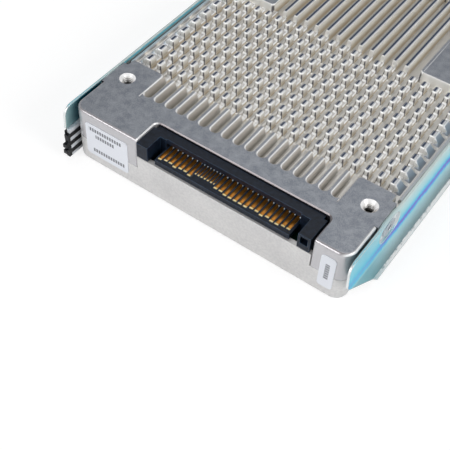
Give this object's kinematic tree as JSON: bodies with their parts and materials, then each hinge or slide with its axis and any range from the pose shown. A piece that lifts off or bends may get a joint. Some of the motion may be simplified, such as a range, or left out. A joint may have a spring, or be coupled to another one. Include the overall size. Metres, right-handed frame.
{
  "type": "solid state drive",
  "caption": "Hot-plug solid state drive with a finned heat-sink case, a serial-attached plug at one end, leaning side rails and a latching front lever.",
  "frame": {"origin": "centre of the whole carrier's plan, on the surface it rests on", "axes": "+Y from the plug end towards the carrier's front lever, +Z out of the finned face, +X to the side away from the comb of edge contacts"},
  "size_m": [0.076, 0.1303, 0.0156],
  "materials": {
    "cast_alloy": "blasted, satin",
    "cover_sheet": "brushed, satin",
    "board_green": "solder resist",
    "plug_black": "moulded",
    "contact_gold": "plated",
    "chip_black": "moulded",
    "pad_grey": "soft",
    "capacitor_tan": "moulded",
    "screw_steel": "zinc plated",
    "label_white": "printed film",
    "rail_steel": "zinc plated, satin",
    "block_black": "moulded",
    "strip_metal": "plated",
    "flex_amber": "film",
    "front_black": "moulded, fine texture",
    "pin_steel": "ground",
    "spring_steel": "wire",
    "button_grey": "moulded",
    "pipe_clear": "moulded, clear"
  },
  "bodies": {
    "carrier": {"base_casting": "cast_alloy", "bottom_cover": "cover_sheet", "main_board": "board_green", "flash_board": "board_green", "board_link": "plug_black", "connector_housing": "plug_black", "signal_contacts": "contact_gold", "second_port_contacts": "contact_gold", "power_contacts": "contact_gold", "board_locks": "pin_steel", "controller_chip": "chip_black", "flash_chips_upper": "chip_black", "flash_chips_lower": "chip_black", "memory_chips": "chip_black", "thermal_pads_upper": "pad_grey", "thermal_pads_lower": "pad_grey", "holdup_capacitors": "capacitor_tan", "board_screws": "screw_steel", "cover_screws": "screw_steel", "left_label": "label_white", "right_label": "label_white", "left_rail": "rail_steel", "right_rail": "rail_steel", "side_screws": "screw_steel", "contact_block": "block_black", "contact_strips": "strip_metal", "flex_circuit": "flex_amber", "front_bezel": "front_black", "lever_pin": "pin_steel", "lever_spring": "spring_steel", "button_spring": "spring_steel", "latch_spring": "spring_steel", "light_pipes": "pipe_clear", "indicator_board": "board_green", "bezel_screws": "screw_steel"},
    "lever": {"ejector_lever": "front_black"},
    "button": {"release_button": "button_grey"}
  },
  "joints": [
    {"name": "lever_swing", "type": "hinge", "parent": "carrier", "child": "lever", "pos_m": [-0.032, 0.06215, 0.0078], "axis": [0, 0, 1], "range_deg": [0, 55], "deforming": ["lever_spring", "latch_spring"]},
    {"name": "button_press", "type": "slide", "parent": "carrier", "child": "button", "axis": [0, -1, 0], "range_m": [0, 0.0016], "stiffness_N_per_m": 400, "deforming": ["button_spring"]}
  ]
}
